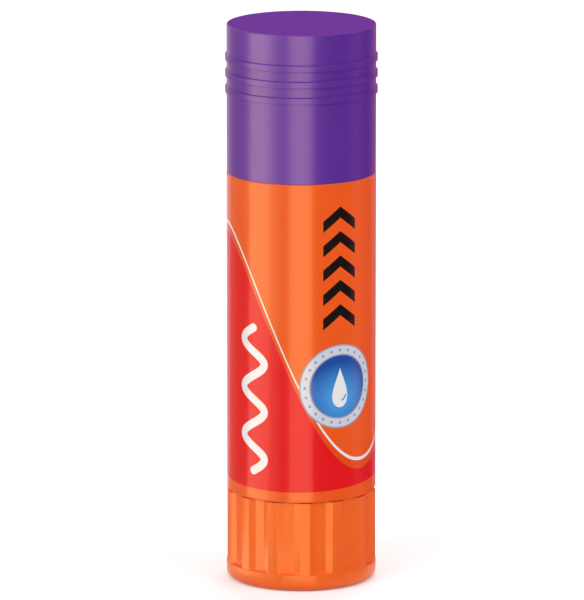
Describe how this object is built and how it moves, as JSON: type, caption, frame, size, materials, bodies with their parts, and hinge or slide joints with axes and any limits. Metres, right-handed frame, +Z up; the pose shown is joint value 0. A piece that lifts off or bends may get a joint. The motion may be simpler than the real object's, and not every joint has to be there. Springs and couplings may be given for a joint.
{
  "type": "glue stick",
  "caption": "Twist-up glue stick: a ringed push-on cap, a labelled barrel and a grooved turning base that winds the glue carrier up a lead screw.",
  "frame": {"origin": "centre of the underside of the turning base, on the surface that the stick stands on", "axes": "+Z up along the stick's axis towards the cap's top, front faces -Y"},
  "size_m": [0.0272, 0.0272, 0.1005],
  "materials": {
    "cap_plastic": "smooth moulded, semi-gloss",
    "barrel_plastic": "smooth moulded, semi-gloss",
    "label_film": "printed gloss film",
    "knob_plastic": "smooth moulded, semi-gloss",
    "natural_plastic": "uncoloured moulded, satin",
    "glue": "waxy, slightly translucent"
  },
  "bodies": {
    "body": {"barrel": "barrel_plastic", "label": "label_film"},
    "base": {"knob": "knob_plastic", "spindle": "natural_plastic"},
    "lift": {"carrier": "natural_plastic", "glue": "glue"},
    "top": {"cap": "cap_plastic"}
  },
  "joints": [
    {"name": "knob_turn", "type": "hinge", "parent": "body", "child": "base", "pos_m": [0, 0, 0], "axis": [0, 0, 1], "range_deg": [-3510, 1350]},
    {"name": "carrier_rise", "type": "slide", "parent": "body", "child": "lift", "axis": [0, 0, 1], "range_m": [-0.0391, 0.0151]},
    {"name": "cap_lift", "type": "slide", "parent": "body", "child": "top", "axis": [0, 0, 1], "range_m": [0, 0.045]}
  ],
  "couplings": [
    {"joint": "carrier_rise", "follows": "knob_turn", "m_per_rad": 0.00063662}
  ]
}
